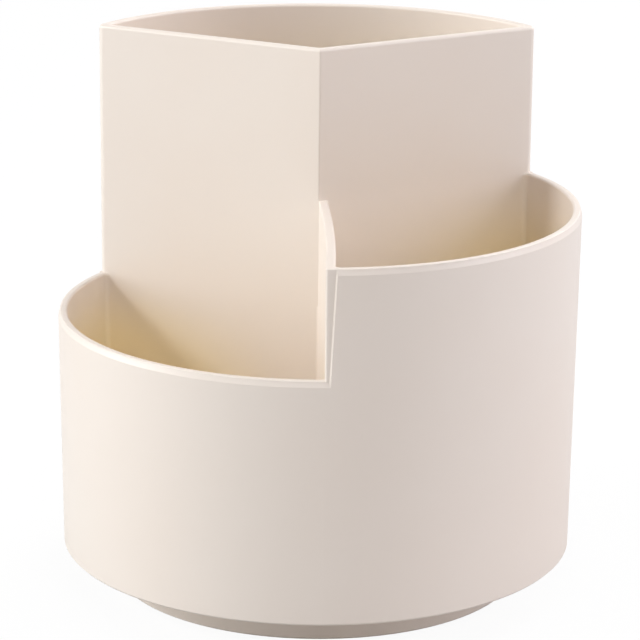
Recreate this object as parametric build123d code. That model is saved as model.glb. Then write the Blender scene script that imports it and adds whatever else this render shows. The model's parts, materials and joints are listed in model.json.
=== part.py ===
from build123d import *
import math
import os

# A rotating desk organiser: three cups moulded in one body, on a ball-bearing turntable.
# Millimetres. The turntable turns about Z, z = 0 is the table, +Y points to the tall cup.

# ---- the moulded cups, as seen from outside
cup_radius = 52.0  # outer radius at the skirt's bottom edge and up the tall cup's back
wall = 1.8  # thickness of every moulded wall and floor of the cups
tall_height = 102.0  # rim heights above the skirt's bottom edge
mid_height = 71.1
low_height = 49.3
front_lean = 1.4  # how far forward the front wall's circle has moved at the middle rim
half_sector = 60.0  # degrees from +Y to each front wall of the tall cup
divider_bow = 0.65  # how far the wall between the front cups bulges towards the middle cup
corner_radius = 1.6  # upright outer corners of the tall cup, above the lower rims
apex_radius = 0.5  # upright front edge of the tall cup
inner_radius = 1.0  # upright inside corners of the cups
tall_rim_rounding = 0.7
skirt_bevel = 0.4  # bottom outer edge
lip_height = 1.0  # the lower rims have a shallow step outside
lip_depth = 0.3
step_foot = 1.2  # width of the same step beside the divider, at the low rim
step_head = 2.3  # and at the middle rim
floor_rise = 5.0  # room under the cups' floor for the turntable

# ---- turntable base
base_radius = 41.5
base_wall = 1.8
base_floor = 2.4
base_bevel = 0.5
rim_gap = 0.6  # between the base's rim and the turning plate above it
rib_height = 2.4
rib_thickness = 1.2
outer_ribs = 8
inner_ribs = 6

# ---- feet
foot_count = 4
foot_radius = 4.5
foot_thickness = 2.0
foot_proud = 0.8  # how far the feet stand below the base
foot_circle = 34.5
foot_angle = 45.0  # of the first foot, from +X
foot_rounding = 0.3
foot_clearance = 0.1

# ---- ball bearing
ball_count = 12
ball_radius = 2.0
track_radius = 30.0
race_width = 7.0
race_thickness = 1.2
groove_depth = 0.6
groove_relief = 0.1  # how much wider than the ball the groove's section is
ball_play = 0.02
race_seat_wall = 1.2
race_seat_height = 0.8
race_clearance = 0.1
race_sink = 0.34  # how far the upper race sits up in the plate
cage_width = 5.6
cage_thickness = 1.6
pocket_clearance = 0.06

# ---- turning plate under the cups
plate_thickness = 2.2
plate_recess = 0.3  # its underside above the skirt's bottom edge
plate_clearance = 0.3

# ---- plate screws
screw_count = 3
screw_circle = 17.5
screw_angle = 90.0  # of the first screw, from +X
screw_radius = 1.5
screw_length = 5.1
screw_head_radius = 2.8
screw_head_height = 1.8
screw_boss_radius = 3.6
screw_clearance = 0.2
thread_clearance = 0.02
cross_slot_length = 3.2
cross_slot_width = 0.7
cross_slot_depth = 0.9
pilot_end = 0.2  # room past the tip of a screw

# ---- central pivot
shoulder_radius = 3.0
pivot_thread_radius = 2.5
pivot_thread_length = 4.2
pivot_head_radius = 5.5
pivot_head_height = 2.0
pivot_head_bevel = 0.4
hex_across_corners = 4.6
hex_depth = 1.2
running_clearance = 0.05
washer_radius = 7.0
steel_washer_thickness = 0.6
friction_washer_thickness = 0.5
washer_clearance = 0.1
hub_bore_radius = 8.0
hub_wall = 1.8
web_thickness = 2.0
bush_radius = 4.0
bush_flange_radius = 5.5
bush_flange_thickness = 0.6
bush_gap = 0.35
insert_radius = 3.5
insert_length = 4.5
insert_end = 0.5
boss_radius = 6.0
boss_clearance = 0.2
cover_step = 0.6
cover_thickness = 1.1
cover_clearance = 0.05
cover_gap = 0.4

# ---- supports under the cups' floor
support_ring_wall = 1.5

over = 1.0  # how far a cutting shape runs past what it cuts

# ---- heights that follow from the stack of pieces
base_z = foot_proud
base_floor_z = base_z + base_floor
lower_race_top = base_floor_z + race_thickness
ball_z = lower_race_top - groove_depth + ball_play + ball_radius
upper_race_z = ball_z + ball_radius + ball_play - groove_depth
upper_race_top = upper_race_z + race_thickness
plate_z = upper_race_top - race_sink
plate_top = plate_z + plate_thickness
skirt_z = plate_z - plate_recess
floor_z = skirt_z + floor_rise
floor_top = floor_z + wall
low_z = skirt_z + low_height
mid_z = skirt_z + mid_height
tall_z = skirt_z + tall_height
base_rim_z = plate_z - rim_gap
cover_top = base_z + cover_thickness
head_z = cover_top + cover_gap
shoulder_z = head_z + pivot_head_height
friction_z = shoulder_z + steel_washer_thickness
web_z = friction_z + friction_washer_thickness + running_clearance
web_top = web_z + web_thickness
boss_z = web_top + bush_flange_thickness + bush_gap

# ---- plan geometry shared by the cups' outside and inside
sector_sin = math.sin(math.radians(half_sector))
sector_cos = math.cos(math.radians(half_sector))
lean_z = skirt_z + skirt_bevel  # the front wall leans forward from here up


def on_wall_face(along, offset, side):
    """Point beside a radial plane at half_sector from +Y, offset outwards, on side +1 or -1."""
    x = sector_sin * along + sector_cos * offset
    y = sector_cos * along - sector_sin * offset
    return side * x, y


def corner_point(side):
    """Sharp outer corner of the tall cup: its front wall's outer face meets the back circle."""
    along = math.sqrt(cup_radius**2 - (wall / 2) ** 2)
    return on_wall_face(along, wall / 2, side)


def front_circle(z):
    """Centre y and radius of the front wall's circle at a height: it always passes the corners."""
    shift = front_lean * (z - lean_z) / (mid_z - lean_z)
    x, y = corner_point(1)
    return -shift, math.hypot(x, y + shift)


def front_corner(z, inset, side):
    """Where the front circle, drawn in by inset, meets the tall cup's front wall."""
    centre, radius = front_circle(z)
    shift, offset = -centre, wall / 2
    rest = offset**2 + shift**2 - 2 * shift * sector_sin * offset - (radius - inset) ** 2
    along = -sector_cos * shift + math.sqrt((sector_cos * shift) ** 2 - rest)
    return on_wall_face(along, offset, side)


def front_outline(z, inset):
    """Plan of everything in front of the tall cup at a height, as a face."""
    centre, radius = front_circle(z)
    left, right = front_corner(z, inset, -1), front_corner(z, inset, 1)
    front = (0, centre - radius + inset)
    apex = (0, -wall / 2 / sector_sin)
    edges = [ThreePointArc(left, front, right), Line(right, apex), Line(apex, left)]
    return Plane.XY.offset(z) * make_face(edges)


def front_block(low, high, inset):
    return loft([front_outline(low, inset), front_outline(high, inset)], ruled=True)


def prism(face, low, high):
    return Pos(0, 0, low) * extrude(face, high - low)


def ring(inner, outer, low, high):
    shape = Pos(0, 0, low) * Cylinder(outer, high - low, align=(Align.CENTER, Align.CENTER, Align.MIN))
    if inner > 0:
        hole = Cylinder(inner, high - low + 2 * over, align=(Align.CENTER, Align.CENTER, Align.MIN))
        shape -= Pos(0, 0, low - over) * hole
    return shape


def around(count, radius, first=0.0):
    """Places evenly round the axis, the first one at an angle from +X."""
    step = 360.0 / count
    return [Rot(0, 0, first + step * i) * Pos(radius, 0, 0) for i in range(count)]


def sector_plan(offset, radius, corner_radii, tip_radius):
    """Plan of the tall cup: two front walls offset outwards from the radial planes, and its back."""
    along = math.sqrt(radius**2 - offset**2)
    left, right = on_wall_face(along, offset, -1), on_wall_face(along, offset, 1)
    tip = (0, -offset / sector_sin)
    plan = make_face([ThreePointArc(left, (0, radius), right), Line(right, tip), Line(tip, left)])
    for (x, y), rounding in ((left, corner_radii[0]), (right, corner_radii[1]), (tip, tip_radius)):
        if rounding > 0:
            corner = plan.vertices().sort_by_distance((x, y, 0))[0]
            plan = fillet(corner, rounding)
    return plan


def left_of_divider(offset):
    """Round plan that holds all on the left of a face of the divider, offset from its left face."""
    back, front = -wall / 2 / sector_sin, -cup_radius - front_lean
    half_chord = (back - front) / 2
    radius = (half_chord**2 + divider_bow**2) / (2 * divider_bow) + offset
    return Pos(divider_bow + offset - radius, (back + front) / 2) * Circle(radius)


def lip_region():
    """Everything above the outside step of the lower rims, seen from the front."""
    reach = 2 * cup_radius
    low_step, mid_step = low_z - lip_height, mid_z - lip_height
    points = [
        (-reach, low_step),
        (step_foot, low_step),
        (step_head, mid_step),
        (reach, mid_step),
        (reach, mid_z + over),
        (-reach, mid_z + over),
    ]
    return Pos(0, reach, 0) * extrude(Plane.XZ * make_face(Polyline(*points, close=True)), 2 * reach)


def front_cups():
    """Outside of the low and middle cups: the leaning wall, cut down to the two rims."""
    block = front_block(lean_z, mid_z, 0)
    block -= prism(left_of_divider(0), low_z, mid_z + over)
    step = lip_region() - front_block(floor_z, mid_z + 2 * over, lip_depth)
    return block - step


def tall_cup():
    """Outside of the tall cup: sharp corners where a lower cup joins it, rounded above."""
    lower = prism(sector_plan(wall / 2, cup_radius, (0, 0), 0), lean_z, low_z)
    middle = prism(sector_plan(wall / 2, cup_radius, (corner_radius, 0), 0), low_z, mid_z)
    rounded = sector_plan(wall / 2, cup_radius, (corner_radius, corner_radius), apex_radius)
    upper = prism(rounded, mid_z, tall_z)
    upper = fillet(upper.edges().group_by(Axis.Z)[-1], tall_rim_rounding)
    return lower + middle + upper


def skirt():
    """The round bottom slice, with its bevelled edge."""
    return Pos(0, 0, skirt_z) * Cone(
        cup_radius - skirt_bevel, cup_radius, skirt_bevel, align=(Align.CENTER, Align.CENTER, Align.MIN)
    )


def front_cavity(to_left, top):
    """Inside of the low or middle cup. The low cup's corner beside the apex stays sharp."""
    space = front_block(floor_top, top + over, wall)
    if to_left:
        space &= prism(left_of_divider(0), floor_z, top + 2 * over)
    else:
        space -= prism(left_of_divider(wall), floor_z, top + 2 * over)
    upright = space.edges().filter_by(lambda edge: abs(edge.tangent_at(0.5).Z) > sector_sin)
    if to_left:
        upright = upright.sort_by_distance((0, 0, floor_top))[1:]
    return fillet(upright, inner_radius)


def tall_cavity():
    plan = sector_plan(-wall / 2, cup_radius - wall, (inner_radius, inner_radius), inner_radius)
    return prism(plan, floor_top, tall_z + over)


def screw_places():
    return around(screw_count, screw_circle, screw_angle)


def foot_places():
    return around(foot_count, foot_circle, foot_angle)


def underside():
    """Bosses and a support ring under the cups' floor."""
    shape = ring(0, boss_radius, boss_z, floor_top)
    shape += ring(track_radius, track_radius + support_ring_wall, plate_top, floor_top)
    for place in screw_places():
        shape += place * ring(0, screw_boss_radius, plate_top, floor_top)
    return shape


def cup_body():
    body = tall_cup() + front_cups() + skirt()
    body -= ring(0, cup_radius - wall, skirt_z - over, floor_z)
    body -= tall_cavity()
    body -= front_cavity(True, low_z)
    body -= front_cavity(False, mid_z)
    body += underside()
    body -= ring(0, insert_radius, boss_z - over, boss_z + insert_length + insert_end)
    pilot_top = plate_z + screw_length + pilot_end
    for place in screw_places():
        body -= place * ring(0, screw_radius + thread_clearance, plate_top - over, pilot_top)
    return body


def groove(bottom_z, upwards):
    """The ring of a race's groove: a round section a little wider than the ball."""
    section = ball_radius + groove_relief
    height = bottom_z + section if upwards else bottom_z - section
    return Pos(0, 0, height) * Torus(track_radius, section)


def race(low, groove_z, upwards):
    inner, outer = track_radius - race_width / 2, track_radius + race_width / 2
    return ring(inner, outer, low, low + race_thickness) - groove(groove_z, upwards)


def ball_places():
    return [place * Pos(0, 0, ball_z) for place in around(ball_count, track_radius)]


def ball_cage():
    low = ball_z - cage_thickness / 2
    cage = ring(track_radius - cage_width / 2, track_radius + cage_width / 2, low, low + cage_thickness)
    for place in ball_places():
        cage -= place * Sphere(ball_radius + pocket_clearance)
    return cage


def race_seat(low, high):
    """Two low walls that hold a race in place."""
    inner = track_radius - race_width / 2 - race_clearance
    outer = track_radius + race_width / 2 + race_clearance
    return ring(inner - race_seat_wall, inner, low, high) + ring(outer, outer + race_seat_wall, low, high)


def ribs(count, inner, outer, low, high):
    shape = Part()
    length = outer - inner
    for place in around(count, (inner + outer) / 2, 180 / count):
        shape += place * Pos(0, 0, (low + high) / 2) * Box(length, rib_thickness, high - low)
    return shape


def turntable_base():
    base = ring(0, base_radius, base_z, base_rim_z)
    base = chamfer(base.edges().group_by(Axis.Z)[0], base_bevel)
    base -= ring(0, base_radius - base_wall, base_floor_z, base_rim_z + over)
    base += race_seat(base_floor_z, base_floor_z + race_seat_height)
    hub_radius = hub_bore_radius + hub_wall
    seat_inner = track_radius - race_width / 2 - race_clearance - race_seat_wall
    seat_outer = track_radius + race_width / 2 + race_clearance + race_seat_wall
    rib_top = base_floor_z + rib_height
    fit_in = base_wall / 2
    base += ribs(outer_ribs, seat_outer - race_seat_wall / 2, base_radius - fit_in, base_floor_z, rib_top)
    base += ribs(inner_ribs, hub_radius - hub_wall / 2, seat_inner + race_seat_wall / 2, base_floor_z, rib_top)
    base += ring(0, hub_radius, base_floor_z, web_top)
    base -= ring(0, hub_bore_radius, base_z - over, web_z)
    base -= ring(0, hub_bore_radius + cover_step, base_z - over, cover_top)
    base -= ring(0, bush_radius, web_z - over, web_top + over)
    for place in foot_places():
        base -= place * ring(0, foot_radius + foot_clearance, base_z - over, foot_thickness)
    return base


def foot(place):
    pad = ring(0, foot_radius, 0, foot_thickness)
    pad = fillet(pad.edges().group_by(Axis.Z)[0], foot_rounding)
    return place * pad


def rotor_plate():
    """The turning plate that closes the cups' underside and carries the upper race."""
    plate = ring(boss_radius + boss_clearance, cup_radius - wall - plate_clearance, plate_z, plate_top)
    inner = track_radius - race_width / 2 - race_clearance
    outer = track_radius + race_width / 2 + race_clearance
    plate -= ring(inner, outer, plate_z - over, upper_race_top)
    for place in screw_places():
        plate -= place * ring(0, screw_radius + screw_clearance, plate_z - over, plate_top + over)
    return plate


def plate_screw(place):
    head_low = plate_z - screw_head_height
    screw = ring(0, screw_head_radius, head_low, plate_z)
    screw = fillet(screw.edges().group_by(Axis.Z)[0], screw_head_height / 2)
    screw += ring(0, screw_radius, plate_z - over, plate_z + screw_length)
    slot_z = head_low + cross_slot_depth / 2 - over / 2
    for turn in (0, 90):
        slot = Box(cross_slot_length, cross_slot_width, cross_slot_depth + over)
        screw -= Rot(0, 0, turn) * Pos(0, 0, slot_z) * slot
    return place * screw


def pivot_screw():
    """Shoulder screw from below: its thread is in the cups, its shoulder turns in the bush."""
    screw = ring(0, pivot_head_radius, head_z, shoulder_z)
    screw = chamfer(screw.edges().group_by(Axis.Z)[0], pivot_head_bevel)
    screw += ring(0, shoulder_radius, shoulder_z - over, boss_z)
    screw += ring(0, pivot_thread_radius, boss_z - over, boss_z + pivot_thread_length)
    socket = RegularPolygon(hex_across_corners / 2, 6)
    return screw - prism(socket, head_z - over, head_z + hex_depth)


def pivot_bush():
    bore = shoulder_radius + running_clearance
    sleeve = ring(bore, bush_radius, web_z, web_top + bush_flange_thickness)
    return sleeve + ring(bore, bush_flange_radius, web_top, web_top + bush_flange_thickness)


def washer(low, thickness, outer):
    return ring(shoulder_radius + washer_clearance, outer, low, low + thickness)


def threaded_insert():
    return ring(pivot_thread_radius, insert_radius, boss_z, boss_z + insert_length)


def screw_cover():
    return ring(0, hub_bore_radius + cover_step - cover_clearance, base_z, cover_top)


def sub_parts():
    """Every piece by its name."""
    pieces = {
        "cup_body": cup_body(),
        "rotor_plate": rotor_plate(),
        "plate_screws": Compound([plate_screw(place).solid() for place in screw_places()]),
        "upper_race": race(upper_race_z, upper_race_z + groove_depth, False),
        "ball_cage": ball_cage(),
        "lower_race": race(base_floor_z, lower_race_top - groove_depth, True),
        "turntable_base": turntable_base(),
        "pivot_screw": pivot_screw(),
        "pivot_bush": pivot_bush(),
        "steel_washer": washer(shoulder_z, steel_washer_thickness, washer_radius),
        "friction_washer": washer(friction_z, friction_washer_thickness, washer_radius),
        "threaded_insert": threaded_insert(),
        "screw_cover": screw_cover(),
    }
    for number, place in enumerate(ball_places(), 1):
        pieces[f"ball_{number:02d}"] = place * Sphere(ball_radius)
    for number, place in enumerate(foot_places(), 1):
        pieces[f"foot_{number}"] = foot(place)
    return pieces


def main():
    os.makedirs("parts", exist_ok=True)
    for name, shape in sub_parts().items():
        export_step(shape, f"parts/{name}.step")
        box = shape.bounding_box()
        print(f"{name:16s} volume {shape.volume:10.1f}  z {box.min.Z:7.2f} to {box.max.Z:7.2f}")


main()
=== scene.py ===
import json
import math

import bmesh
import bpy
import numpy as np
from mathutils import Matrix, Vector


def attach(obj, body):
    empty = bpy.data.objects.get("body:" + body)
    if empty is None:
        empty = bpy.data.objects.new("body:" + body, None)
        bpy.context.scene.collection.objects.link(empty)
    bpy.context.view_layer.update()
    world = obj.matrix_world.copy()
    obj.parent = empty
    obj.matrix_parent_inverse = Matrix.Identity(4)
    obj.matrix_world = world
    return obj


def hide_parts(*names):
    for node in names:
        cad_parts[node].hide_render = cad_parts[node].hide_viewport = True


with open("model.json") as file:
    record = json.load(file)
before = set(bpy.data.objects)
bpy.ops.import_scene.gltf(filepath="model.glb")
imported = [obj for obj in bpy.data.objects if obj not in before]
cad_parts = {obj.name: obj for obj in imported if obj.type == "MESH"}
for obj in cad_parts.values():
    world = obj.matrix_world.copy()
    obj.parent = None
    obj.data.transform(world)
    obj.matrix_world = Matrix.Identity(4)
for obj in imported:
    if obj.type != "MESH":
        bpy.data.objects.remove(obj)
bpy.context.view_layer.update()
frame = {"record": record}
scene = bpy.context.scene
mm = 0.001
print("frame loaded")


# meshes from numpy arrays

def makePiece(name, vertices, faces):
    # mesh object at the origin, its place in its vertices, mm turned to metres
    mesh = bpy.data.meshes.new(name)
    mesh.from_pydata((np.asarray(vertices) * mm).tolist(), [], faces)
    mesh.update()
    piece = bpy.data.objects.new(name, mesh)
    scene.collection.objects.link(piece)
    return piece


def closedLoft(name, rings):
    # surface through a stack of closed rings (rows x points x 3), with a flat cap on each end
    rings = np.asarray(rings)
    rows, points = rings.shape[:2]
    index = np.arange(rows * points).reshape(rows, points)
    right = np.roll(index, -1, axis=1)
    quads = np.stack([index[:-1], right[:-1], right[1:], index[1:]], axis=-1).reshape(-1, 4)
    caps = [index[0, ::-1].tolist(), index[-1].tolist()]
    return makePiece(name, rings.reshape(-1, 3), quads.tolist() + caps)


def turned(name, profile, steps, centre=(0, 0)):
    # surface of revolution: profile is a closed outline of (radius, height), turned about Z at centre
    profile = np.asarray(profile, float)
    angle = np.linspace(0, 2 * math.pi, steps, endpoint=False)
    x = centre[0] + profile[:, :1] * np.cos(angle)
    y = centre[1] + profile[:, :1] * np.sin(angle)
    z = np.repeat(profile[:, 1:], steps, axis=1)
    index = np.arange(len(profile) * steps).reshape(len(profile), steps)
    onAxis = profile[:, 0] < 1e-9
    index[onAxis] = index[onAxis][:, :1]
    above = np.roll(index, -1, axis=0)
    quads = np.stack([index, np.roll(index, -1, 1), np.roll(above, -1, 1), above], axis=-1)
    used, corners = np.unique(quads, return_inverse=True)
    # a quad that meets the axis names a point twice, and leaves a triangle or nothing
    faces = [list(dict.fromkeys(quad)) for quad in corners.reshape(-1, 4).tolist()]
    place = np.stack([x, y, z], axis=-1).reshape(-1, 3)[used]
    piece = makePiece(name, place, [face for face in faces if len(face) > 2])
    mesh = bmesh.new()
    mesh.from_mesh(piece.data)
    bmesh.ops.recalc_face_normals(mesh, faces=mesh.faces)
    mesh.to_mesh(piece.data)
    mesh.free()
    return piece


def quarter(centre, radius, start, steps=6):
    # quarter round of a profile: centre + radius (cos a, sin a), a from start degrees over 90
    angle = np.radians(np.linspace(start, start + 90, steps))
    return [(centre[0] + radius * math.cos(a), centre[1] + radius * math.sin(a)) for a in angle]


def combine(piece, others, operation):
    # joins solids to piece or cuts them from it, one after another, and keeps the result as its mesh
    for other in others:
        step = piece.modifiers.new(operation, "BOOLEAN")
        step.operation = operation
        step.solver = "MANIFOLD"
        step.object = other
    seen = piece.evaluated_get(bpy.context.evaluated_depsgraph_get())
    result = bpy.data.meshes.new_from_object(seen)
    piece.modifiers.clear()
    old, piece.data = piece.data, result
    bpy.data.meshes.remove(old)
    for other in others:
        mesh = other.data
        bpy.data.objects.remove(other)
        bpy.data.meshes.remove(mesh)
    return piece


def smoothBy(piece, degrees):
    # smooth over rounded edges, sharp past an angle, flat faces kept flat by their area
    piece.data.shade_smooth()
    piece.data.set_sharp_from_angle(angle=math.radians(degrees))
    weighted = piece.modifiers.new("flatFaces", "WEIGHTED_NORMAL")
    weighted.keep_sharp = True
    return piece


# plans: every side of a plan is an arc, and a straight side is one with a very large radius
flat = 1e7
smallTurn = 0.1


class Side:
    # an arc side of a plan: inside is +1 where the plan lies within its circle, -1 where outside
    def __init__(self, centre, radius, inside=1, steps=2):
        self.centre, self.radius = np.asarray(centre, float), radius
        self.inside, self.steps = inside, steps


def crossing(first, second, rounding, near):
    # the point at rounding from both sides that is nearest to a given one
    one, two = first.radius - first.inside * rounding, second.radius - second.inside * rounding
    between = second.centre - first.centre
    distance = np.linalg.norm(between)
    along = between / distance
    across = np.array([-along[1], along[0]])
    reach = (distance + (one - two) * ((one + two) / distance)) / 2
    height = math.sqrt(max((one - reach) * (one + reach), 0))
    points = [first.centre + along * reach + across * height, first.centre + along * reach - across * height]
    return min(points, key=lambda point: np.linalg.norm(point - near))


def arcOn(side, start, end, steps):
    # points of a side from start to end, anticlockwise where the plan lies within its circle;
    # a turn under smallTurn stays as it is, also when it goes back
    share = np.linspace(0, 1, steps)
    if side.radius > flat / 2:
        return start + (end - start) * share[:, None]
    radius = np.linalg.norm(start - side.centre)
    first, last = (start - side.centre) / radius, (end - side.centre) / radius
    turn = math.atan2(first[0] * last[1] - first[1] * last[0], first @ last)
    if abs(turn) > smallTurn and turn * side.inside < 0:
        turn += 2 * math.pi * side.inside
    angle = math.atan2(first[1], first[0]) + turn * share
    return side.centre + radius * np.stack([np.cos(angle), np.sin(angle)], axis=1)


def onto(side, point):
    # nearest point of a side's circle: centre + radius times the direction to the given point
    away = point - side.centre
    return side.centre + away * side.radius / np.linalg.norm(away)


def planRing(z, sides, roundings, corners, filletSteps):
    # closed plan at a height: sides in anticlockwise order, each corner rounded by an arc
    following = sides[1:] + sides[:1]
    middles = []
    for side, after, rounding, corner in zip(sides, following, roundings, corners):
        middles.append(crossing(side, after, rounding, np.asarray(corner)))
    points = []
    for i, side in enumerate(sides):
        end = onto(side, middles[i])
        points.append(arcOn(side, onto(side, middles[i - 1]), end, side.steps))
        fillet = Side(middles[i], roundings[i])
        points.append(arcOn(fillet, end, onto(following[i], middles[i]), filletSteps)[1:-1])
    plan = np.concatenate(points)
    return np.column_stack([plan, np.full(len(plan), z)])


# the moulded cups: lip is the shallow step under the two lower rims, strip the narrow band beside the divider
# that stands back as far as the lip, and sink how far a hidden side stays behind the other wall's face

cups = {
    "radius": 52.0, "wall": 1.8, "skirtZ": 7.8, "floorZ": 12.8, "floorTop": 14.6,
    "lowZ": 57.1, "midZ": 78.9, "tallZ": 109.8,
    "lean": 1.4, "leanZ": 8.2, "halfSector": math.radians(60), "bow": 0.65,
    "corner": 1.6, "apex": 0.5, "inner": 1.0, "sharp": 0.03, "floorRound": 1.0, "skirtBevel": 0.4,
    "tallRound": 0.7, "tallInnerRound": 0.6, "rimRound": 0.28, "rimInnerRound": 0.5, "edgeRound": 0.5,
    "lipHeight": 0.36, "lipDepth": 0.3, "lipSlope": 0.9, "lipBevel": 0.33,
    "stepFoot": 1.2, "stepHead": 2.3, "sink": 0.008, "innerSink": 0.005,
    "arcSteps": 200, "backSteps": 160, "dividerSteps": 40, "wallSteps": 24, "stripSteps": 4, "plainSteps": 3,
    "filletSteps": 9, "roundSteps": 7, "roomSteps": 240, "smooth": 17,
    # where the painted shade inside the cups starts and how far out from the axis it grows
    "reachFrom": 2.0, "reachOver": 40.0, "reachLeast": 0.1,
}
sectorSin, sectorCos = math.sin(cups["halfSector"]), math.cos(cups["halfSector"])


def onWallFace(along, offset, side):
    # point beside the middle plane of a front wall of the tall cup, offset outwards
    return np.array([side * (sectorSin * along + sectorCos * offset), sectorCos * along - sectorSin * offset])


def wallSide(offset, side, within):
    # straight side along a front wall of the tall cup: within is +1 for the tall cup, -1 for a front cup
    away = np.array([side * sectorCos, -sectorSin]) * within
    return Side(onWallFace(0, offset, side) - away * flat, flat, 1, cups["wallSteps"])


def frontSide(z, inset, steps):
    # the leaning front wall: its circle moves forward with height and always passes the corners
    shift = cups["lean"] * (max(z, cups["leanZ"]) - cups["leanZ"]) / (cups["midZ"] - cups["leanZ"])
    x, y = cornerPoint(1)
    return Side((0, -shift), math.hypot(x, y + shift) - inset, 1, steps)


def cornerPoint(side):
    # where a front wall's outer face meets the cups' circle: along is root(radius squared - offset squared)
    half = cups["wall"] / 2
    return onWallFace(math.sqrt(cups["radius"]**2 - half**2), half, side)


def dividerSide(offset, inside):
    # face of the wall between the front cups: a flat arc, bulging to the right, offset to the right
    back, front = -cups["wall"] / 2 / sectorSin, -cups["radius"] - cups["lean"]
    half = (back - front) / 2
    radius = (half**2 + cups["bow"]**2) / (2 * cups["bow"])
    return Side((cups["bow"] - radius, (back + front) / 2), radius + offset, inside, cups["dividerSteps"])


def rimRows(top, outer, inner):
    # over a rim, as (inset, height): out of the outer wall, across the top, into the inner wall
    turn = np.linspace(0, math.pi / 2, cups["roundSteps"])
    rise = [(outer * (1 - math.cos(a)), top - outer + outer * math.sin(a)) for a in turn]
    fall = [(cups["wall"] - inner * (1 - math.sin(a)), top - inner + inner * math.cos(a)) for a in turn]
    return rise, fall


def floorRows():
    # from the inner wall into the floor, as (further inset, height)
    size = cups["floorRound"]
    turn = np.linspace(0, math.pi / 2, cups["roundSteps"])
    return [(size * (1 - math.cos(a)), cups["floorTop"] + size * (1 - math.sin(a))) for a in turn]


def tallSolid():
    # one skin: up the outside, over the rim, down inside and across the floor
    def ring(z, inset, left, right, apex):
        sides = [
            wallSide(cups["wall"] / 2 - inset, 1, 1),
            Side((0, 0), cups["radius"] - inset, 1, cups["backSteps"]),
            wallSide(cups["wall"] / 2 - inset, -1, 1),
        ]
        corners = [cornerPoint(1), cornerPoint(-1), (0, 0)]
        roundings = [max(rounding, cups["sharp"]) for rounding in (right, left, apex)]
        return planRing(z, sides, roundings, corners, cups["filletSteps"])

    corner, apex, soft, inner = cups["corner"], cups["apex"], cups["rimRound"], cups["inner"]
    rows = [
        ring(cups["skirtZ"], cups["skirtBevel"], 0, 0, 0),
        ring(cups["leanZ"], 0, 0, 0, 0),
        ring(cups["lowZ"] - soft, 0, 0, 0, 0),
        ring(cups["lowZ"], 0, soft, 0, 0),
        ring(cups["lowZ"], 0, corner, 0, 0),
        ring(cups["midZ"] - soft, 0, corner, 0, 0),
        ring(cups["midZ"], 0, corner, soft, 0),
        ring(cups["midZ"], 0, corner, corner, apex),
    ]
    rise, fall = rimRows(cups["tallZ"], cups["tallRound"], cups["tallInnerRound"])
    rows += [ring(z, inset, corner - inset, corner - inset, apex - inset) for inset, z in rise]
    for inset, z in fall:
        rounding = inner + cups["wall"] - inset
        rows.append(ring(z, inset, rounding, rounding, rounding))
    for more, z in floorRows():
        rounding = inner - more
        rows.append(ring(z, cups["wall"] + more, rounding, rounding, rounding))
    return closedLoft("cupBody", rows)


def frontRows(rimZ, lipZ):
    # outside and inside of a front cup as (inset, height), up to the lip, over the rim and down
    rise, fall = rimRows(rimZ, cups["rimRound"], cups["rimInnerRound"])
    outside = [(cups["skirtBevel"], cups["skirtZ"]), (0, cups["leanZ"]), (0, lipZ - cups["lipSlope"])]
    rim = [(cups["lipDepth"] + inset, z) for inset, z in rise]
    return outside, rim, fall + [(cups["wall"] + more, z) for more, z in floorRows()]


def hiddenOffset(inset, hidden, face):
    # a side that lies hidden in another wall: from its middle to just behind its face, then off it
    share = min(inset / cups["wall"], 1)
    return hidden + (face - hidden) * share, max(inset - cups["wall"], 0)


def lowSolid():
    # the low cup: its side walls hide in the tall cup's wall and in the divider
    half, sink = cups["wall"] / 2, cups["innerSink"]

    def ring(z, inset):
        wallOffset, more = hiddenOffset(inset, 0, half - sink)
        dividerOffset = hiddenOffset(inset, half, sink)[0] - more
        rounding = max(min(cups["inner"], cups["inner"] - more), cups["sharp"])
        if inset < half:
            rounding = cups["edgeRound"] / 2
        sides = [
            wallSide(wallOffset + more, -1, -1),
            frontSide(z, inset + cups["sink"], cups["arcSteps"]),
            dividerSide(dividerOffset, 1),
        ]
        corners = [cornerPoint(-1), (0, -cups["radius"]), (0, 0)]
        return planRing(z, sides, [rounding] * 3, corners, cups["filletSteps"])

    lip = cups["lowZ"] - cups["lipHeight"]
    outside, rim, inside = frontRows(cups["lowZ"], lip)
    rows = outside + [(cups["lipDepth"], lip)] + rim + inside
    return closedLoft("lowCup", [ring(z, inset) for inset, z in rows])


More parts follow.
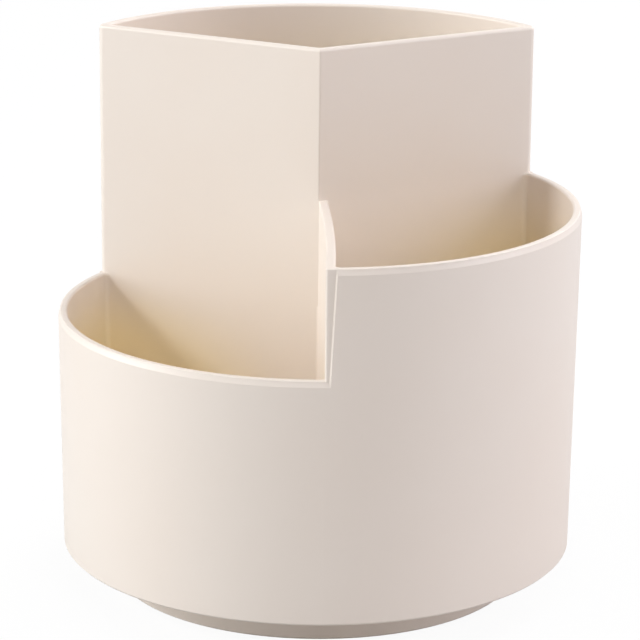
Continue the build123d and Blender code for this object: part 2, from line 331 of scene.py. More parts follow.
def midSolid():
    # the middle cup and the divider, with the slanted step of the lip beside the divider
    half, sink = cups["wall"] / 2, cups["innerSink"]
    lowStep, midStep = cups["lowZ"] - cups["lipHeight"], cups["midZ"] - cups["lipHeight"]

    def stepX(z):
        share = np.clip((z - lowStep) / (midStep - lowStep), 0, 1)
        return cups["stepFoot"] + (cups["stepHead"] - cups["stepFoot"]) * share

    def ring(z, front, divider, strip, edge, inner):
        # insets of the front wall, of the divider and of the strip between it and the step
        wallOffset, more = hiddenOffset(front, 0, half - sink)
        rounding = cups["edgeRound"] / 2 if inner is None else inner
        stripSide, wholeSide = (frontSide(z, inset, cups["plainSteps"]) for inset in (strip, front))
        sides = [dividerSide(divider, -1), stripSide, wallSide(wallOffset + more, 1, -1)]
        corners = [(0, -cups["radius"]), cornerPoint(1), (0, 0)]
        roundings = [max(edge, cups["sharp"]), rounding, rounding]
        stripPlan = planRing(z, sides, roundings, corners, cups["filletSteps"])
        sides[1] = wholeSide
        wholePlan = planRing(z, sides, roundings, corners, cups["filletSteps"])
        # the plain front gives way to more columns: a few on the strip, then evenly round to the tall cup
        first = cups["dividerSteps"] + cups["filletSteps"] - 2
        after = first + cups["plainSteps"]
        start, end = stripPlan[first, :2], wholePlan[after - 1, :2]

        def at(side, x):
            return np.array([x, side.centre[1] - math.sqrt(side.radius**2 - x**2)])

        step = stepX(z)
        stripEnd = at(stripSide, max(step - cups["lipBevel"], start[0] + cups["sharp"]))
        wholeStart = at(wholeSide, max(step, stripEnd[0] + cups["sharp"]))
        columns = np.concatenate([
            arcOn(stripSide, start, stripEnd, cups["stripSteps"]),
            arcOn(wholeSide, wholeStart, end, cups["arcSteps"]),
        ])
        columns = np.column_stack([columns, np.full(len(columns), z)])
        return np.concatenate([stripPlan[:first], columns, wholePlan[after:]])

    soft, lip, edge = cups["sharp"], cups["lipDepth"], cups["edgeRound"]
    outside, rim, inside = frontRows(cups["midZ"], midStep)
    rows = [ring(z, inset, 0, inset, soft, None) for inset, z in outside[:2]]
    rows += [
        ring(lowStep - cups["lipSlope"], 0, 0, 0, soft, None),
        ring(lowStep, 0, 0, lip, soft, None),
        ring(cups["lowZ"] - cups["rimRound"], 0, 0, lip, soft, None),
        ring(cups["lowZ"], 0, 0, lip, edge, None),
        ring(midStep - cups["lipSlope"], 0, 0, lip, edge, None),
        ring(midStep, lip, 0, lip, edge, None),
    ]
    rows += [ring(z, inset, inset - lip, inset, edge - inset + lip, None) for inset, z in rim]
    for inset, z in inside:
        more = max(inset - cups["wall"], 0)
        rounding = max(cups["inner"] - more, cups["sharp"]) + max(cups["wall"] - inset, 0)
        rows.append(ring(z, inset, inset, inset, rounding, rounding))
    return closedLoft("middleCup", rows)


# everything below the cups, on the turntable's axis

turntable = {
    "axisSteps": 200, "pinSteps": 96, "bossSteps": 64, "smooth": 30, "edge": 0.2, "beyond": 1.0,
    "baseRadius": 41.5, "baseWall": 1.8, "baseZ": 0.8, "baseFloor": 3.2, "baseRim": 7.5, "baseBevel": 0.5,
    "track": 30.0, "raceHalf": 3.5, "raceThick": 1.2, "raceGap": 0.1, "seatWall": 1.2, "seatHeight": 0.8,
    "grooveDepth": 0.6, "grooveRadius": 2.1, "grooveSteps": 13, "raceSmooth": 40,
    "lowerRaceZ": 3.2, "upperRaceZ": 7.24,
    "ballZ": 5.82, "ballRadius": 2.0, "ballSteps": 56, "ballRows": 29, "balls": 12,
    "cageHalf": 2.8, "cageThick": 1.6, "pocket": 2.06, "pocketSteps": 48, "pocketRows": 25,
    "hubBore": 8.0, "hubWall": 1.8, "webZ": 5.45, "webTop": 7.45,
    "outerRibs": 8, "innerRibs": 6, "ribThick": 1.2, "ribTop": 5.6,
    "feet": 4, "footRadius": 4.5, "footCircle": 34.5, "footTop": 2.0, "footGap": 0.1, "footRound": 0.3,
    "footRing": 2.6, "footRingWidth": 0.35, "footRingDepth": 0.3, "footSteps": 72,
    "plateZ": 8.1, "plateTop": 10.3, "plateRadius": 49.9, "plateBore": 6.2, "plateRecessTop": 8.44,
    "screws": 3, "screwCircle": 17.5, "screwRadius": 1.5, "screwLength": 5.1, "screwPitch": 1.1,
    "headRadius": 2.8, "headHeight": 1.8, "headRound": 0.9, "headRows": 9,
    "slotLength": 3.2, "slotWidth": 0.7, "slotDepth": 0.9,
    "screwGap": 0.2, "screwHoleSteps": 48, "pilot": 1.52, "pilotTop": 13.4, "pilotSteps": 32, "screwBoss": 3.6,
    "shoulder": 3.0, "shoulderZ": 4.3, "pivotHead": 5.5, "pivotHeadZ": 2.3, "pivotBevel": 0.4,
    "hexRadius": 2.3, "hexDepth": 1.2, "pivotThread": 2.5, "pivotPitch": 0.8, "pivotTop": 12.6,
    "threadDepth": 0.3, "threadSteps": 48, "threadRows": 12, "threadTip": 0.6, "threadTipSlope": 0.8,
    "washer": 7.0, "washerBore": 3.1, "steelTop": 4.9, "steelEdge": 0.1, "frictionTop": 5.4, "frictionEdge": 0.08,
    "bushRadius": 4.0, "bushBore": 3.05, "bushFlange": 5.5, "bushTop": 8.05,
    "bossZ": 8.4, "pivotBoss": 6.0, "supportInner": 30.0, "supportOuter": 31.5,
    "insertRadius": 3.5, "insertTop": 12.9, "insertRoom": 0.5, "knurls": 24, "knurlSteps": 6, "knurlDepth": 0.12,
    "insertRows": (0, 0.12, 0.13, 0.45, 0.46, 0.54, 0.55, 0.87, 0.88, 1),
    "insertKnurled": (0, 0, 1, 1, 0, 0, 1, 1, 0, 0),
    "coverRadius": 8.55, "coverStep": 0.6, "coverTop": 1.9, "coverEdge": 0.15,
}


def around(count, radius, first=0.0):
    # places evenly round the axis, the first one at an angle from +X in degrees
    angle = np.radians(first + 360 / count * np.arange(count))
    return np.stack([radius * np.cos(angle), radius * np.sin(angle)], axis=1)


def tube(name, inner, outer, low, high, steps=turntable["pinSteps"], centre=(0, 0)):
    # a tube with sharp edges, or a solid cylinder where inner is 0
    return turned(name, [(inner, low), (outer, low), (outer, high), (inner, high)], steps, centre)


def softTube(name, inner, outer, low, high, edge, steps):
    # a tube with every edge rounded
    profile = quarter((inner + edge, low + edge), edge, 180) + quarter((outer - edge, low + edge), edge, 270)
    profile += quarter((outer - edge, high - edge), edge, 0) + quarter((inner + edge, high - edge), edge, 90)
    return turned(name, profile, steps)


def screwPlaces():
    # the plate screws, the first one at the back
    return around(turntable["screws"], turntable["screwCircle"], 90)


def footPlaces():
    # the feet, the first one between +X and +Y
    return around(turntable["feet"], turntable["footCircle"], 45)


def raceSeat():
    # inner and outer radius of a race's seat: the track less and plus half a race and the gap
    t = turntable
    return t["track"] - t["raceHalf"] - t["raceGap"], t["track"] + t["raceHalf"] + t["raceGap"]


def cupShadeDepth(piece):
    # attributes for the painted shade in the cups' material: depth is 0 outside and at a cup's rim and grows evenly
    # to 1 at its floor, reach grows with the distance from the axis, from the narrow inner corners outwards
    place = np.empty(3 * len(piece.data.vertices))
    piece.data.vertices.foreach_get("co", place)
    x, y, z = place.reshape(-1, 3).T / mm
    half, inTop = cups["wall"] / 2, cups["wall"] / 4
    cornerX, cornerY = cornerPoint(1)
    shift = cups["lean"] * (z - cups["leanZ"]) / (cups["midZ"] - cups["leanZ"])
    divider = dividerSide(half, 1)
    onLeft = np.hypot(x - divider.centre[0], y - divider.centre[1]) < divider.radius
    beside = np.abs(x) * sectorCos - y * sectorSin
    inTall = (beside < -inTop) & (np.hypot(x, y) < cups["radius"] - half)
    inFront = (beside > inTop) & (np.hypot(x, y + shift) < np.hypot(cornerX, cornerY + shift) - half)
    rim = np.where(inTall, cups["tallZ"], np.where(onLeft, cups["lowZ"], cups["midZ"]))
    depth = np.clip((rim - z) / (rim - cups["floorTop"]), 0, 1)
    depth *= (inTall | inFront) & (z > cups["floorTop"] - inTop)
    reach = np.clip((np.hypot(x, y) - cups["reachFrom"]) / cups["reachOver"], cups["reachLeast"], 1)
    for name, values in {"depth": depth, "reach": reach}.items():
        piece.data.attributes.new(name, "FLOAT", "POINT").data.foreach_set("value", values)


def cupBody():
    # the three cups in one, a room under their floor, in it the bosses, a support wall and the screw holes
    t = turntable
    piece = combine(tallSolid(), [lowSolid(), midSolid()], "UNION")
    room = tube("room", 0, cups["radius"] - cups["wall"], 0, cups["floorZ"], cups["roomSteps"])
    combine(piece, [room], "DIFFERENCE")
    inFloor = (cups["floorZ"] + cups["floorTop"]) / 2
    bosses = [tube("boss", 0, t["pivotBoss"], t["bossZ"], inFloor)]
    bosses.append(tube("support", t["supportInner"], t["supportOuter"], t["plateTop"], inFloor, t["axisSteps"]))
    for place in screwPlaces():
        bosses.append(tube("boss", 0, t["screwBoss"], t["plateTop"], inFloor, t["bossSteps"], place))
    combine(piece, bosses, "UNION")
    holes = [tube("hole", 0, t["insertRadius"], 0, t["insertTop"] + t["insertRoom"], t["bossSteps"])]
    holes += [tube("hole", 0, t["pilot"], 0, t["pilotTop"], t["pilotSteps"], place) for place in screwPlaces()]
    combine(piece, holes, "DIFFERENCE")
    # attributes that place the painted shade inside the cups
    cupShadeDepth(piece)
    return smoothBy(piece, cups["smooth"])


def blockPiece(name, corners, low, high):
    # an upright block on a plan of corners, anticlockwise
    rows = [np.column_stack([corners, np.full(len(corners), z)]) for z in (low, high)]
    return closedLoft(name, rows)


def ribSpokes(count, inner, outer):
    # radial ribs on the base's floor, evenly round the axis, the first one half a step from +X
    ribs, t = [], turntable
    for x, y in around(count, 1, 180 / count):
        out, side = np.array([x, y]), np.array([-y, x])
        near, far, beside = out * inner, out * outer, side * (t["ribThick"] / 2)
        corners = np.array([near - beside, far - beside, far + beside, near + beside])
        ribs.append(blockPiece("rib", corners, t["baseFloor"] - t["edge"], t["ribTop"]))
    return ribs


def turntableBase():
    # a shallow dish: bevelled outside, two low walls that hold the race, a hub with its web, ribs, foot sockets
    t = turntable
    inner, outer = raceSeat()
    floor, seat, edge = t["baseFloor"], t["baseFloor"] + t["seatHeight"], t["edge"]
    inside, hub = t["baseRadius"] - t["baseWall"], t["hubBore"] + t["hubWall"]
    profile = [(t["bushRadius"], t["webZ"]), (t["hubBore"], t["webZ"]), (t["hubBore"], t["coverTop"])]
    profile += [(t["hubBore"] + t["coverStep"], t["coverTop"]), (t["hubBore"] + t["coverStep"], t["baseZ"])]
    profile += quarter((t["baseRadius"] - t["baseBevel"], t["baseZ"] + t["baseBevel"]), t["baseBevel"], 270)
    profile += quarter((t["baseRadius"] - edge, t["baseRim"] - edge), edge, 0)
    profile += quarter((inside + edge, t["baseRim"] - edge), edge, 90)
    profile += [(inside, floor), (outer + t["seatWall"], floor), (outer + t["seatWall"], seat), (outer, seat)]
    profile += [(outer, floor), (inner, floor), (inner, seat), (inner - t["seatWall"], seat)]
    profile += [(inner - t["seatWall"], floor), (hub, floor)]
    profile += quarter((hub - edge, t["webTop"] - edge), edge, 0) + [(t["bushRadius"], t["webTop"])]
    piece = turned("turntableBase", profile, t["axisSteps"])
    ribs = ribSpokes(t["outerRibs"], outer + t["seatWall"] / 2, inside + t["baseWall"] / 2)
    ribs += ribSpokes(t["innerRibs"], hub - t["hubWall"] / 2, inner - t["seatWall"] / 2)
    combine(piece, ribs, "UNION")
    radius = t["footRadius"] + t["footGap"]
    sockets = [tube("socket", 0, radius, 0, t["footTop"], t["bossSteps"], place) for place in footPlaces()]
    return smoothBy(combine(piece, sockets, "DIFFERENCE"), t["smooth"])


def foot(number, place):
    # rubber pad: rounded edges, a ring groove in its flat bottom
    t = turntable
    low, ring, width, deep = t["footRound"], t["footRing"], t["footRingWidth"], t["footRingDepth"]
    profile = [(0, 0), (ring - width, 0), (ring - width, deep), (ring, deep), (ring, 0)]
    profile += quarter((t["footRadius"] - low, low), low, 270)
    profile += quarter((t["footRadius"] - low, t["footTop"] - low), low, 0) + [(0, t["footTop"])]
    return smoothBy(turned(f"foot{number}", profile, t["footSteps"], place), t["smooth"])


def rotorPlate():
    # the plate under the cups: a seat for the upper race in its underside, and the holes for its screws
    t = turntable
    inner, outer = raceSeat()
    edge, recess = t["edge"], t["plateRecessTop"]
    profile = quarter((t["plateBore"] + edge, t["plateZ"] + edge), edge, 180)
    profile += [(inner, t["plateZ"]), (inner, recess), (outer, recess), (outer, t["plateZ"])]
    profile += quarter((t["plateRadius"] - edge, t["plateZ"] + edge), edge, 270)
    profile += [(t["plateRadius"], t["plateTop"]), (t["plateBore"], t["plateTop"])]
    piece = turned("rotorPlate", profile, t["axisSteps"])
    radius = t["screwRadius"] + t["screwGap"]
    high, steps = t["plateTop"] + t["beyond"], t["screwHoleSteps"]
    holes = [tube("hole", 0, radius, 0, high, steps, place) for place in screwPlaces()]
    return smoothBy(combine(piece, holes, "DIFFERENCE"), t["smooth"])


def race(name, low, turnedOver):
    # ring with a round groove in its top, whose centre is above the face by its radius less its depth
    t = turntable
    inner, outer, high = t["track"] - t["raceHalf"], t["track"] + t["raceHalf"], low + t["raceThick"]
    rise = t["grooveRadius"] - t["grooveDepth"]
    angle = np.linspace(1, -1, t["grooveSteps"]) * math.acos(rise / t["grooveRadius"])
    groove = np.column_stack([t["track"] + t["grooveRadius"] * np.sin(angle),
                              high + rise - t["grooveRadius"] * np.cos(angle)])
    profile = np.array([(inner, low), (outer, low), (outer, high), *groove.tolist(), (inner, high)])
    if turnedOver:
        profile[:, 1] = low + high - profile[:, 1]
    return smoothBy(turned(name, profile, t["axisSteps"]), t["raceSmooth"])


def sphere(name, radius, rows, steps, place):
    # a ball on the track: (radius cos a, height + radius sin a), a from -90 to 90, both ends on the axis
    angle = np.linspace(-math.pi / 2, math.pi / 2, rows)
    profile = [(max(radius * math.cos(a), 0), turntable["ballZ"] + radius * math.sin(a)) for a in angle]
    profile[0], profile[-1] = (0, profile[0][1]), (0, profile[-1][1])
    return turned(name, profile, steps, place)


def ball(number, place):
    # one bearing ball
    t = turntable
    return smoothBy(sphere(f"ball{number:02d}", t["ballRadius"], t["ballRows"], t["ballSteps"], place), t["smooth"])


def ballCage():
    # a flat ring with a round pocket for each ball
    t = turntable
    inner, outer = t["track"] - t["cageHalf"], t["track"] + t["cageHalf"]
    low, high = t["ballZ"] - t["cageThick"] / 2, t["ballZ"] + t["cageThick"] / 2
    piece = softTube("ballCage", inner, outer, low, high, t["edge"], t["axisSteps"])
    pockets = []
    for place in around(t["balls"], t["track"]):
        pockets.append(sphere("pocket", t["pocket"], t["pocketRows"], t["pocketSteps"], place))
    return smoothBy(combine(piece, pockets, "DIFFERENCE"), t["smooth"])


def threaded(name, radius, pitch, low, high, centre=(0, 0)):
    # screw thread: radius less depth times a triangle wave of height / pitch - turn, fading at the tip,
    # where the last half pitch also gets narrower
    t = turntable
    rows = int((high - low) / pitch * t["threadRows"])
    z, turn = np.linspace(low, high, rows)[:, None], np.linspace(0, 1, t["threadSteps"], endpoint=False)[None]
    wave = np.abs(((z - low) / pitch - turn) % 1 * 2 - 1)
    tip = np.clip((high - z) / pitch, 0, 1)
    point = np.where(high - z < pitch / 2, t["threadTip"] + t["threadTipSlope"] * (high - z) / pitch, 1)
    size = (radius - t["threadDepth"] * (1 - wave * tip)) * point
    angle = turn * 2 * math.pi
    x, y = centre[0] + size * np.cos(angle), centre[1] + size * np.sin(angle)
    return closedLoft(name, np.stack([x, y, z + 0 * angle], axis=-1))


def plateScrews():
    # three screws as one piece: a domed head with a cross slot below, the threaded shank above
    t = turntable
    low, top, dome = t["plateZ"] - t["headHeight"], t["plateZ"] + t["screwLength"], t["headRound"]
    profile = [(0, low)] + quarter((t["headRadius"] - dome, low + dome), dome, 270, t["headRows"])
    profile += [(t["headRadius"], t["plateZ"]), (0, t["plateZ"])]
    half, thin = t["slotLength"] / 2, t["slotWidth"] / 2
    screws = []
    for place in screwPlaces():
        screw = turned("plateScrews", profile, t["bossSteps"], place)
        shank = threaded("shank", t["screwRadius"], t["screwPitch"], t["plateZ"] - t["edge"], top, place)
        combine(screw, [shank], "UNION")
        slots = []
        for a, b in ((half, thin), (thin, half)):
            corners = np.array([(-a, -b), (a, -b), (a, b), (-a, b)]) + place
            slots.append(blockPiece("slot", corners, low - t["beyond"], low + t["slotDepth"]))
        screws.append(combine(screw, slots, "DIFFERENCE"))
    return smoothBy(combine(screws[0], screws[1:], "UNION"), t["smooth"])


def pivotScrew():
    # shoulder screw from below: a bevelled head with a hexagon socket, the shoulder, the thread
    t = turntable
    bevel, edge, low, high = t["pivotBevel"], t["edge"], t["pivotHeadZ"], t["shoulderZ"]
    profile = [(0, low), (t["pivotHead"] - bevel, low), (t["pivotHead"], low + bevel)]
    profile += [(t["pivotHead"], high - edge), (t["pivotHead"] - edge, high), (t["shoulder"], high)]
    profile += [(t["shoulder"], t["bossZ"]), (0, t["bossZ"])]
    piece = turned("pivotScrew", profile, t["pinSteps"])
    thread = threaded("thread", t["pivotThread"], t["pivotPitch"], t["bossZ"] - edge, t["pivotTop"])
    combine(piece, [thread], "UNION")
    socket = blockPiece("socket", around(6, t["hexRadius"]), low - t["beyond"], low + t["hexDepth"])
    return smoothBy(combine(piece, [socket], "DIFFERENCE"), t["smooth"])


def pivotBush():
    # plastic bush round the shoulder, with a flange on top
    t = turntable
    edge = t["edge"]
    profile = [(t["bushBore"], t["webZ"]), (t["bushRadius"], t["webZ"]), (t["bushRadius"], t["webTop"])]
    profile += [(t["bushFlange"], t["webTop"])] + quarter((t["bushFlange"] - edge, t["bushTop"] - edge), edge, 0)
    profile += [(t["bushBore"], t["bushTop"])]
    return smoothBy(turned("pivotBush", profile, t["pinSteps"]), t["smooth"])


def threadedInsert():
    # brass insert with two knurled bands: radius less depth times a triangle wave round the axis
    t = turntable
    share, knurled = (np.array(t[key])[:, None] for key in ("insertRows", "insertKnurled"))
    turn = np.linspace(0, 1, t["knurls"] * t["knurlSteps"], endpoint=False)[None]
    wave = np.abs((turn * t["knurls"]) % 1 * 2 - 1)
    size = t["insertRadius"] - t["knurlDepth"] * np.where(knurled > 0, wave, 1)
    angle = turn * 2 * math.pi
    z = t["bossZ"] + (t["insertTop"] - t["bossZ"]) * share
    rings = np.stack([size * np.cos(angle), size * np.sin(angle), z + 0 * angle], axis=-1)
    piece = closedLoft("threadedInsert", rings)
    low, high = t["bossZ"] - t["beyond"], t["insertTop"] + t["beyond"]
    bore = tube("bore", 0, t["pivotThread"], low, high, t["bossSteps"])
    return smoothBy(combine(piece, [bore], "DIFFERENCE"), t["smooth"])


def washer(name, low, high, edge):
    # flat ring on the screw's shoulder, with its heights and its edge's radius by their names
    t = turntable
    piece = softTube(name, t["washerBore"], t["washer"], t[low], t[high], t[edge], t["pinSteps"])
    return smoothBy(piece, t["smooth"])


def screwCover():
    # a disc with rounded edges that closes the hub from below
    t = turntable
    outer, low, high, edge = t["coverRadius"], t["baseZ"], t["coverTop"], t["coverEdge"]
    profile = [(0, low)] + quarter((outer - edge, low + edge), edge, 270)
    profile += quarter((outer - edge, high - edge), edge, 0) + [(0, high)]
    return smoothBy(turned("screwCover", profile, t["pinSteps"]), t["smooth"])


pieces = {"cup_body": cupBody()}
print("cup body made:", len(pieces["cup_body"].data.polygons), "faces")
pieces["turntable_base"] = turntableBase()
pieces["rotor_plate"] = rotorPlate()
pieces["lower_race"] = race("lowerRace", turntable["lowerRaceZ"], False)
pieces["upper_race"] = race("upperRace", turntable["upperRaceZ"], True)
pieces["ball_cage"] = ballCage()
for number, place in enumerate(around(turntable["balls"], turntable["track"]), 1):
    pieces[f"ball_{number:02d}"] = ball(number, place)
for number, place in enumerate(footPlaces(), 1):
    pieces[f"foot_{number}"] = foot(number, place)
pieces["plate_screws"] = plateScrews()
pieces["pivot_screw"] = pivotScrew()
pieces["pivot_bush"] = pivotBush()
pieces["threaded_insert"] = threadedInsert()
pieces["steel_washer"] = washer("steelWasher", "shoulderZ", "steelTop", "steelEdge")
pieces["friction_washer"] = washer("frictionWasher", "steelTop", "frictionTop", "frictionEdge")
pieces["screw_cover"] = screwCover()
print("turntable made:", len(pieces) - 1, "pieces")

record = frame["record"]
bodyOf = {node: body for body, nodes in record["behaviour"]["bodies"].items() for node in nodes}
slotOf = {part["node"]: part["material_slot"] for part in record["subparts"]}
for node, piece in pieces.items():
    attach(piece, bodyOf[node])
    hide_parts(node)


# materials: every pattern reads Object coordinates, which are the part's own metres

def plug(socket, value):
    # links a wire to a socket, or sets the socket to a plain value
    if isinstance(value, Wire):
        value.nodes.id_data.links.new(value.socket, socket)
    else:
        socket.default_value = value


class Wire:
    # a socket of a material's nodes: Python's operators on it add Math nodes
    def __init__(self, nodes, socket=None):
        self.nodes, self.socket = nodes, socket

    def add(self, kind, settings, values, output=0):
        # any node, by its type, its settings and its sockets' values or links
        node = self.nodes.new("ShaderNode" + kind)
        for name, value in settings.items():
            setattr(node, name, value)
        for name, value in values.items():
            plug(node.inputs[name], value)
        return Wire(self.nodes, node.outputs[output])

    def maths(self, operation, first, second):
        # one Math node on two values
        return self.add("Math", {"operation": operation}, {0: first, 1: second})

    def __add__(self, other):
        return self.maths("ADD", self, other)

    def __sub__(self, other):
        return self.maths("SUBTRACT", self, other)

    def __rsub__(self, other):
        return self.maths("SUBTRACT", other, self)

    def __mul__(self, other):
        return self.maths("MULTIPLY", self, other)

    def __pow__(self, other):
        return self.maths("POWER", self, other)

    __radd__, __rmul__ = __add__, __mul__

    def between(self, low, high):
        # 0 below low, 1 above high, smooth between
        values = {"Value": self, "From Min": low, "From Max": high}
        return self.add("MapRange", {"interpolation_type": "SMOOTHSTEP"}, values)

    def noise(self, size, detail=2.0, stretch=(1, 1, 1), roughness=0.5):
        # 3D noise with blotches about a size in metres, drawn out along an axis by its stretch
        place = self.add("Mapping", {}, {"Vector": self, "Scale": [1 / (size * along) for along in stretch]})
        return self.add("TexNoise", {}, {"Vector": place, "Scale": 1.0, "Detail": detail, "Roughness": roughness})

    def blend(self, first, second):
        # colour between two, by this value
        return self.add("Mix", {"data_type": "RGBA"}, {"Factor": self, 6: first, 7: second}, 2)

    def bump(self, depth):
        # surface normal of a relief this many metres deep
        return self.add("Bump", {}, {"Height": self, "Distance": depth, "Strength": 1.0})


def colour(red, green, blue):
    # opaque colour
    return red, green, blue, 1.0


def newFinish(name):
    # empty material with its shader, and its Object coordinates
    material = bpy.data.materials.new(name)
    material.use_nodes = True
    nodes = material.node_tree.nodes
    shader = next(node for node in nodes if node.type == "BSDF_PRINCIPLED")
    return material, shader, Wire(nodes).add("TexCoord", {}, {}, 3)


def feed(material, shader, values):
    # the shader's sockets by name, as values or wires
    for name, value in values.items():
        plug(shader.inputs[name], value)
    return material


# sizes and depths in metres; a Range says where a pattern starts and where it is full, a Rough how much
# rougher it makes the surface
plastic = {
    "colour": (0.865, 0.77, 0.69), "warm": (0.855, 0.75, 0.665), "roughness": 0.36, "ior": 1.47,
    "cloud": 0.05, "cloudRange": (0.3, 0.7), "cloudRough": 0.05,
    "grain": 0.00022, "grainDepth": 0.000008, "grainRough": 0.07,
    "fine": 0.0011, "fineShare": 0.8, "fleckRange": (0.62, 0.8), "fleckBy": 0.12, "fleckTone": 0.93,
    "scuff": 0.004, "scuffStretch": (1, 1, 5), "scuffRange": (0.56, 0.74), "scuffRough": 0.06,
    "swell": 0.022, "swellDepth": 0.00006,
}
# painted shade: the cups' insides turn yellower with the product of depth and reach, fading again towards their
# floors, in place of the warm light bounced inside them
cream = dict(plastic, deep=(0.94, 0.80, 0.54), deepBy=0.36, deepFade=(0.45, 0.9, 0.6))
white = dict(plastic, colour=(0.80, 0.79, 0.75), warm=(0.77, 0.75, 0.70), roughness=0.3)
underPart = dict(plastic, colour=(0.85, 0.745, 0.655), warm=(0.835, 0.725, 0.63), roughness=0.42, grainDepth=0.000014)


def mouldedPlastic(name, look):
    # satin moulded plastic: a faint cloud in its tint, fine texture from the mould, broad soft swells, and for the
    # cups a painted shade deep inside them
    material, shader, place = newFinish(name)
    cloud = place.noise(look["cloud"], detail=3.0).between(*look["cloudRange"])
    grain = place.noise(look["grain"], roughness=0.6)
    fine = place.noise(look["fine"])
    scuffs = place.noise(look["scuff"], detail=4.0, stretch=look["scuffStretch"], roughness=0.7)
    scuffs = scuffs.between(*look["scuffRange"])
    swell = place.noise(look["swell"], detail=1.0)
    tint = cloud.blend(colour(*look["colour"]), colour(*look["warm"]))
    # painted shade: yellower deep inside the cups, standing in for the warm light that bounces round inside them
    if "deep" in look:
        depth, reach = (place.add("Attribute", {"attribute_name": key}, {}, 2) for key in ("depth", "reach"))
        fade, gone, most = look["deepFade"]
        share = (depth * reach).between(0, look["deepBy"]) * (1 - most * depth.between(fade, gone))
        tint = share.blend(tint, colour(*look["deep"]))
    flecks = fine.between(*look["fleckRange"]) * look["fleckBy"]
    tint = flecks.blend(tint, colour(*(look["fleckTone"] * part for part in look["colour"])))
    rough = look["roughness"] + look["grainRough"] * (grain - 0.5)
    relief = grain * look["grainDepth"] + fine * (look["grainDepth"] * look["fineShare"])
    return feed(material, shader, {
        "Base Color": tint,
        "Roughness": rough + look["cloudRough"] * cloud + look["scuffRough"] * scuffs,
        "Normal": (relief + swell * look["swellDepth"]).bump(1.0),
        "IOR": look["ior"],
    })


metal = {
    "across": 0.1, "markRough": (0.75, 0.5), "markDepth": 0.000004,
    "stainSize": 0.003, "stainRange": (0.45, 0.75), "stainRough": 0.08,
}
metals = {
    "zinc_steel": {"colour": (0.66, 0.67, 0.69), "stain": (0.72, 0.69, 0.62), "roughness": 0.3, "mark": 0.00012},
    "ball_steel": {"colour": (0.78, 0.78, 0.79), "stain": (0.72, 0.73, 0.75), "roughness": 0.07, "mark": 0.0004},
    "insert_brass": {"colour": (0.80, 0.60, 0.30), "stain": (0.66, 0.45, 0.20), "roughness": 0.27, "mark": 0.00015},
}


def turnedMetal(name, look):
    # marks left by turning: noise of the distance from the turntable's axis and of the height
    material, shader, place = newFinish(name)
    x, y, z = (place.add("SeparateXYZ", {}, {0: place}, axis) for axis in range(3))
    rings = place.add("CombineXYZ", {}, {0: (x * x + y * y) ** 0.5, 1: look["across"] * x, 2: z})
    marks = rings.noise(look["mark"], roughness=0.7)
    stain = place.noise(look["stainSize"], detail=3.0).between(*look["stainRange"])
    least, more = look["markRough"]
    return feed(material, shader, {
        "Base Color": stain.blend(colour(*look["colour"]), colour(*look["stain"])),
        "Roughness": look["roughness"] * (least + more * marks) + look["stainRough"] * stain,
        "Normal": marks.bump(look["markDepth"]),
        "Metallic": 1.0,
    })


rubber = {
    "colour": (0.022, 0.022, 0.023), "dust": (0.13, 0.125, 0.118), "roughness": 0.78,
    "skin": 0.0003, "skinRange": (0.4, 0.6), "skinDepth": 0.00002,
    "dustSize": 0.002, "dustRange": (0.48, 0.8), "dustBy": 0.5, "dustRough": 0.12,
}


def footRubber(name, look):
    # dull black rubber: fine pitted skin with dust that sits in it
    material, shader, place = newFinish(name)
    skin = place.noise(look["skin"], detail=3.0, roughness=0.65)
    dust = place.noise(look["dustSize"], detail=4.0, roughness=0.7).between(*look["dustRange"])
    dust = dust * skin.between(*look["skinRange"])
    return feed(material, shader, {
        "Base Color": (look["dustBy"] * dust).blend(colour(*look["colour"]), colour(*look["dust"])),
        "Roughness": look["roughness"] + look["dustRough"] * dust,
        "Normal": skin.bump(look["skinDepth"]),
    })


finishes = {
    "cream_plastic": mouldedPlastic("creamPlastic", cream),
    "base_plastic": mouldedPlastic("basePlastic", underPart),
    "white_plastic": mouldedPlastic("whitePlastic", white),
    "foot_rubber": footRubber("footRubber", rubber),
}
for slot, look in metals.items():
    kind, stuff = slot.split("_")
    finishes[slot] = turnedMetal(kind + stuff.title(), dict(metal, **look))
for node, piece in pieces.items():
    piece.data.materials.clear()
    piece.data.materials.append(finishes[slotOf[node]])
print("materials made:", len(finishes))


# floor, light and camera

studio = {
    "floor": (0.62, 0.62, 0.62), "floorSize": 8.0, "floorWhite": 0.94, "ambient": 0.07,
    "floorGrain": 0.01, "floorRoughness": 0.8, "floorRough": 0.1,
    "distance": 2.2, "lampHeight": 0.05,
    # each lamp: degrees round from the front (right is +), degrees up, size, watts, colour
    "lamps": {
        "key": (-75, 32, 0.37, 14.8, (0.98, 1.0, 1.01)),
        "left": (-90, 12, 1.52, 37.0, (0.95, 1.0, 1.03)),
        "front": (10, 30, 1.52, 11.3, (1.0, 1.0, 1.0)),
        "right": (77, 21, 1.52, 20.0, (0.97, 0.97, 1.08)),
        "back": (130, 32, 1.52, 26.0, (1.0, 1.0, 1.0)),
        "above": (0, 88, 1.52, 13.0, (1.0, 1.0, 1.0)),
    },
}


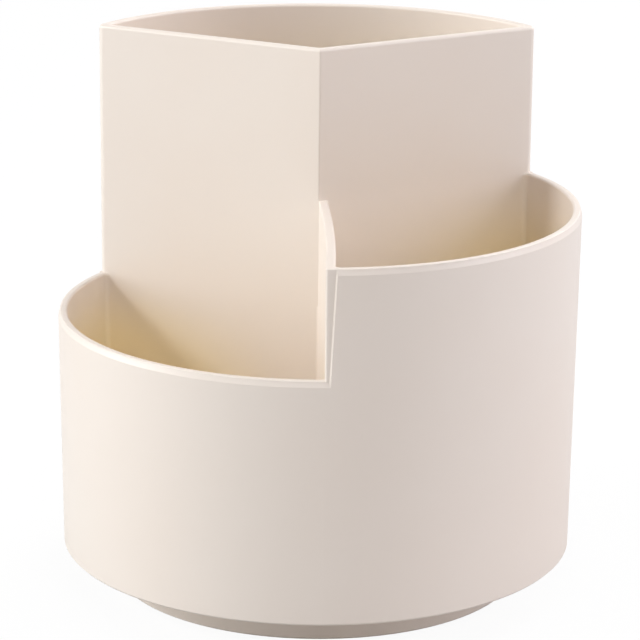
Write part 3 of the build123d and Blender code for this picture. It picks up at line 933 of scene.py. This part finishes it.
def makeFloor():
    # pale floor: for the camera part of it is plain white, and the rest shows the light and the shadow
    half = studio["floorSize"] / 2 / mm
    corners = [(-half, -half, 0), (half, -half, 0), (half, half, 0), (-half, half, 0)]
    floor = makePiece("floor", corners, [(0, 1, 2, 3)])
    material, shader, place = newFinish("paleFloor")
    nodes = material.node_tree.nodes
    seen = place.add("LightPath", {}, {}, 0)
    grain = place.noise(studio["floorGrain"], detail=3.0)
    feed(material, shader, {
        "Base Color": seen.blend(colour(*studio["floor"]), colour(1, 1, 1)),
        "Roughness": studio["floorRoughness"] + studio["floorRough"] * grain,
        "Specular IOR Level": 0.0,
    })
    plain = place.add("Emission", {}, {"Color": colour(1, 1, 1), "Strength": 1.0})
    values = {0: seen * studio["floorWhite"], 1: Wire(nodes, shader.outputs[0]), 2: plain}
    output = next(node for node in nodes if node.type == "OUTPUT_MATERIAL")
    plug(output.inputs["Surface"], place.add("MixShader", {}, values))
    floor.data.materials.append(material)


def makeWorld():
    # even soft light, and plain white where the camera, metal or glass sees it
    world = bpy.data.worlds.new("studio")
    world.use_nodes = True
    scene.world = world
    nodes = world.node_tree.nodes
    background = next(node for node in nodes if node.type == "BACKGROUND")
    path = Wire(nodes).add("LightPath", {}, {})
    outputs = path.socket.node.outputs
    names = ("Is Camera Ray", "Is Glossy Ray", "Is Transmission Ray")
    camera, glossy, through = (Wire(nodes, outputs[name]) for name in names)
    direct = path.maths("MAXIMUM", path.maths("MAXIMUM", camera, glossy), through)
    plug(background.inputs["Color"], colour(1, 1, 1))
    plug(background.inputs["Strength"], studio["ambient"] + (1 - studio["ambient"]) * direct)


def makeLamp(name, turn, height, size, watts, tint):
    # square lamp at distance times (sin turn cos height, -cos turn cos height, sin height), facing the part
    turn, height = math.radians(turn), math.radians(height)
    away = Vector((math.sin(turn) * math.cos(height), -math.cos(turn) * math.cos(height), math.sin(height)))
    data = bpy.data.lights.new(name, "AREA")
    data.shape, data.size, data.energy, data.color = "SQUARE", size, watts, tint
    lamp = bpy.data.objects.new(name, data)
    lamp.location = Vector((0, 0, studio["lampHeight"])) + away * studio["distance"]
    lamp.rotation_euler = away.to_track_quat("Z", "Y").to_euler()
    scene.collection.objects.link(lamp)


view = {
    "aim": (0.425, -1.6, 54.24), "turn": 1.523, "height": 15.949, "roll": -0.518, "distance": 611.83,
    "lens": 169.68, "near": 0.01, "far": 100,
}


def makeCamera():
    # looks at a point from a distance, turned round from the front, raised and rolled, in degrees and mm
    turn, height, roll = (math.radians(view[name]) for name in ("turn", "height", "roll"))
    forward = np.array([math.sin(turn) * math.cos(height), math.cos(turn) * math.cos(height), -math.sin(height)])
    level = np.array([math.cos(turn), -math.sin(turn), 0])
    right = level * math.cos(roll) - np.cross(level, forward) * math.sin(roll)
    place = (np.array(view["aim"]) - forward * view["distance"]) * mm
    data = bpy.data.cameras.new("camera")
    data.lens, data.clip_start, data.clip_end = view["lens"], view["near"], view["far"]
    camera = bpy.data.objects.new("camera", data)
    scene.collection.objects.link(camera)
    axes = np.column_stack([right, np.cross(right, forward), -forward, place])
    camera.matrix_world = Matrix(axes.tolist()).to_4x4()
    scene.camera = camera


makeFloor()
makeWorld()
for name, lamp in studio["lamps"].items():
    makeLamp(name, *lamp)
makeCamera()
scene.view_settings.view_transform = "Standard"
print("studio ready")

bpy.context.view_layer.update()
